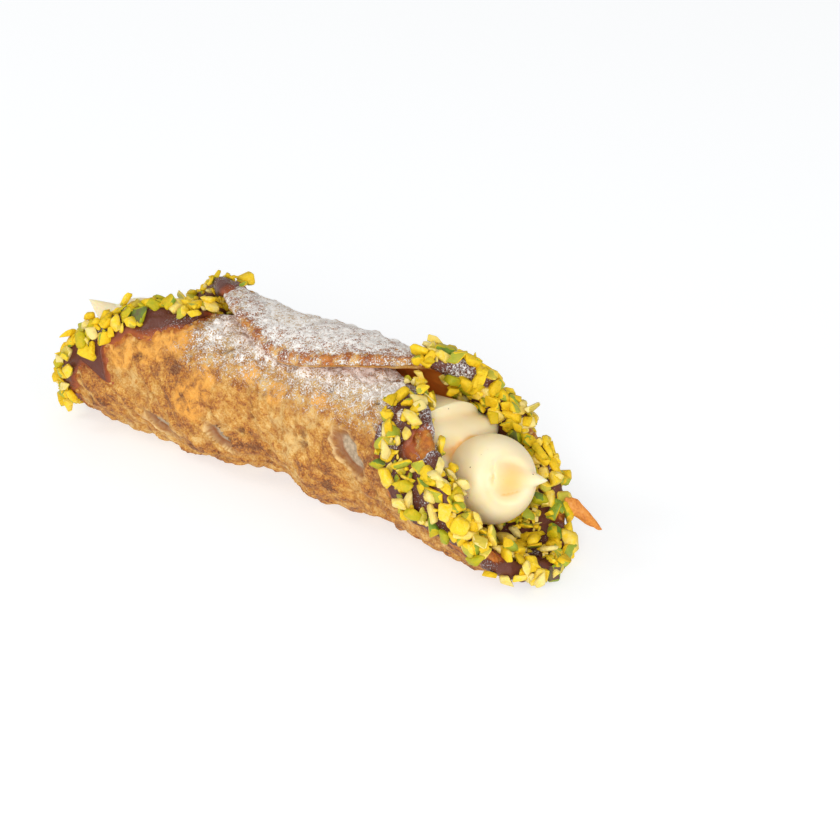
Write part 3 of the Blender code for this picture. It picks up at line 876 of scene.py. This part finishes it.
for end, side_name in ((1, "right"), (-1, "left")):
    rng = Random(40 + end)
    crust = bmesh.new()
    green = crust.verts.layers.float.new("green")
    dusty = crust.verts.layers.float.new("sugar")
    for spot, normal, size, tone in scatter(end, rng):
        known = len(crust.verts)
        crust.from_mesh(rng.choice(bits))
        crust.verts.ensure_lookup_table()
        fresh = crust.verts[known:]
        up = Vector(normal) + Vector((rng.gauss(0, 0.3), rng.gauss(0, 0.3), rng.gauss(0, 0.3)))
        turned = up.to_track_quat("Z", "X").to_matrix().to_4x4()
        spun = Matrix.Rotation(rng.uniform(0, 2 * pi), 4, "Z")
        stretch = rng.uniform(0.95, 1.50)
        grown = Matrix.Diagonal((size * stretch, size * 1.05 / stretch ** 0.5,
                                 size * rng.uniform(0.62, 0.85), 1.0))
        bmesh.ops.transform(crust, verts=fresh,
                            matrix=Matrix.Translation(spot) @ turned @ spun @ grown)
        dusting = 0.34 * max(0.0, rng.gauss(0.35, 0.4))
        for vert in fresh:
            vert[green] = tone
            vert[dusty] = dusting
    bmesh.ops.recalc_face_normals(crust, faces=crust.faces)
    piece = finished(f"pistachios_on_{side_name}_rim", crust, [flesh, skin],
                     [f"nuts_{side_name}"])

# ------------------------------------------------------------------ the piped cream
# Pale custard cream, piped through the whole tube from both mouths. At each mouth it ends in a
# dollop with a curled tip, pulled off the nozzle, and soft folds lie behind the right one.

CREAM_VOXEL = 0.00040
CREAM_LOBES = (                    # x, y, z, half length, half width
    (0.0, 0.0, 0.0162, 0.0400, 0.0136),
    (0.0220, 0.0, 0.0176, 0.0130, 0.0134),
    (0.0330, 0.0, 0.0165, 0.0080, 0.0120),
    (-0.0300, 0.0, 0.0172, 0.0130, 0.0120),
    (-0.0400, -0.0005, 0.0176, 0.0095, 0.0106),
    (-0.0500, 0.0002, 0.0180, 0.0086, 0.0088),
)
CREAM_FOLDS = (                    # x, y, z, half length, half width, half height and tilt
    (0.0322, 0.0035, 0.0262, 0.0052, 0.0098, 0.0034, radians(-20)),
    (0.0350, 0.0040, 0.0216, 0.0062, 0.0112, 0.0034, radians(-15)),
    (0.0372, 0.0010, 0.0170, 0.0066, 0.0112, 0.0034, radians(-9)),
    (0.0390, -0.0010, 0.0125, 0.0064, 0.0100, 0.0034, radians(-4)),
)
CREAM_TIPS = (                     # root, end and radius of the pulled tips
    ((0.0500, -0.0027, 0.0188), (0.0584, 0.0042, 0.0178), 0.0050),
    ((-0.0540, 0.0, 0.0195), (-0.0660, 0.0002, 0.0228), 0.0048),
)
DOLLOP = Vector((0.0478, 0.0, 0.0163))
DOLLOP_RADIUS = 0.0088
CRATER = Vector((0.846, -0.367, 0.388))       # the way the hollow round the tip's foot faces
CRATER_DEPTH = 0.0036
CREAM_KEEPS_OFF = 0.0004
CAVITY_ROUNDS, CAVITY_DEPTH = 30, 0.00042


def angle_to(directions, axis):
    return np.degrees(np.arccos(np.clip(directions @ np.array(axis.normalized()), -1.0, 1.0)))


def add_to(whole, shape):
    """Moves a shape into another bmesh."""
    mesh = bpy.data.meshes.new("some cream")
    shape.to_mesh(mesh)
    shape.free()
    whole.from_mesh(mesh)
    bpy.data.meshes.remove(mesh)


filling = bmesh.new()
for place_x, place_y, place_z, long, wide in CREAM_LOBES:
    bmesh.ops.create_uvsphere(
        filling, u_segments=64, v_segments=40, radius=1.0,
        matrix=Matrix.Translation((place_x, place_y, place_z))
        @ Matrix.Diagonal((long, wide, wide, 1.0)))
for place_x, place_y, place_z, long, wide, high, tilt in CREAM_FOLDS:
    fold, column, row = sphere_grid(96, 64)
    aimed = np.array([tuple(vert.co) for vert in fold.verts])
    blunt = np.sign(aimed) * np.abs(aimed) ** 0.72
    blunt[:, 2] = blunt[:, 2] + 0.10 * grain(blunt[:, 0], blunt[:, 1], 0.7, 60.0 + place_z * 1000.0)
    move_to(fold, blunt)
    bmesh.ops.transform(fold, verts=fold.verts, matrix=(
        Matrix.Translation((place_x, place_y, place_z)) @ Matrix.Rotation(tilt, 4, "X")
        @ Matrix.Diagonal((long, wide, high, 1.0))))
    add_to(filling, fold)
for root, tip, radius in CREAM_TIPS:
    axis = Vector(tip) - Vector(root)
    stand = axis.to_track_quat("Z", "Y").to_matrix().to_4x4()
    bmesh.ops.create_cone(
        filling, cap_ends=True, segments=40, radius1=radius, radius2=0.0002, depth=axis.length,
        matrix=Matrix.Translation(0.5 * (Vector(tip) + Vector(root))) @ stand)

dollop, column, row = sphere_grid(160, 110)
aimed = np.array([tuple(vert.co) for vert in dollop.verts])
from_crater = angle_to(aimed, CRATER)
beside_tip = smooth((0.55 - aimed @ np.array((0.77, 0.64, 0.0))) / 0.5)
size = DOLLOP_RADIUS - CRATER_DEPTH * smooth((33.0 - from_crater) / 21.0) * mix(0.75, 1.0, beside_tip)
size = size + (0.00024 * bump(from_crater, 52.0, 12.0)
               - 0.00028 * bump(from_crater, 36.0, 4.0)) * beside_tip
move_to(dollop, np.array(DOLLOP) + aimed * size[:, None])
add_to(filling, dollop)

cream_surface, shader, where = begin_finish("custard cream", 0.38, Subsurface_Weight=0.60,
                                            Subsurface_Radius=(0.0045, 0.0030, 0.0012),
                                            Subsurface_Scale=1.0, IOR=1.42)
tint = where.lumps(0.0060, 2.0).ramp((0.3, (0.955, 0.775, 0.475)), (0.7, (0.975, 0.81, 0.545)))
# Painted shade: the hollow round the foot of the right tip and the cream's folds and recesses are tinted a
# darker orange.
tint = where.kept("hollow").blend(tint, (0.88, 0.53, 0.14, 1.0))
specks = where.cells(0.0020).step(0.085, 0.055) * where.lumps(0.0040).step(0.50, 0.56)
connect(shader, Base_Color=specks.blend(tint, (0.16, 0.09, 0.04, 1.0)),
        Roughness=0.34 + 0.14 * where.lumps(0.0030),
        Normal=where.node("ShaderNodeBump", {}, {
            "Strength": 0.25, "Distance": 0.00015, "Height": where.lumps(0.0022, 2.0)}))
cream = finished("piped_cream", filling, [cream_surface], ["cream"])
welded = cream.modifiers.new("weld", "REMESH")
welded.mode = "VOXEL"
welded.voxel_size = CREAM_VOXEL
softened = cream.modifiers.new("soften", "SMOOTH")
softened.factor = 0.5
softened.iterations = 5
baked = bpy.data.meshes.new_from_object(
    cream.evaluated_get(bpy.context.evaluated_depsgraph_get()))
cream.modifiers.clear()
cream.data = baked
cream.data.shade_smooth()


def bore_radius(x, angle):
    """Free radius inside the dough, less the tucked end of the lower layer on top."""
    turn = angle - ROLL_START
    free = tube_radius(x, angle) - DOUGH_THICKNESS
    under = layer_shift(turn - 2 * pi) * smooth((turn - radians(105)) / radians(30))
    return free + np.where(turn > radians(90), under, np.minimum(0.0, layer_shift(turn)))


spots = np.array([tuple(vert.co) for vert in cream.data.vertices])
x = spots[:, 0] - AXIS_OFFSET[0]
middle = axis_height(x)
aside = spots[:, 1] - AXIS_OFFSET[1]
above = spots[:, 2] - middle
radius = np.hypot(aside, above)
room = bore_radius(x, np.arctan2(aside, -above)) - CREAM_KEEPS_OFF
held = np.minimum(radius, room) / np.maximum(radius, 1e-6)
spots[:, 1] = AXIS_OFFSET[1] + aside * held
spots[:, 2] = middle + above * held
cream.data.vertices.foreach_set("co", spots.ravel())
cream.data.update()

ends = np.array([tuple(joint.vertices) for joint in cream.data.edges])
spread_out = spots.copy()
for _ in range(CAVITY_ROUNDS):
    total = np.zeros_like(spread_out)
    count = np.zeros(len(spots))
    for near, far in ((0, 1), (1, 0)):
        np.add.at(total, ends[:, near], spread_out[ends[:, far]])
        np.add.at(count, ends[:, near], 1.0)
    spread_out = total / count[:, None]
normals = np.array([tuple(vert.normal) for vert in cream.data.vertices])
sunk = ((spread_out - spots) * normals).sum(axis=1)
# Painted shade for the cream, kept as a mask: round the foot of the right tip, and in the folds and
# recesses, mostly towards the right mouth.
foot = DOLLOP + CRATER.normalized() * (DOLLOP_RADIUS - 0.5 * CRATER_DEPTH)
shaded = 0.85 * smooth((0.0050 - np.linalg.norm(spots - np.array(foot), axis=1)) / 0.0042)
cavity_shade = smooth((sunk - 0.00004) / CAVITY_DEPTH) * (0.3 + 0.7 * smooth((spots[:, 0] - 0.0380) / 0.0040))
keep(cream, "hollow", np.maximum(shaded, cavity_shade))
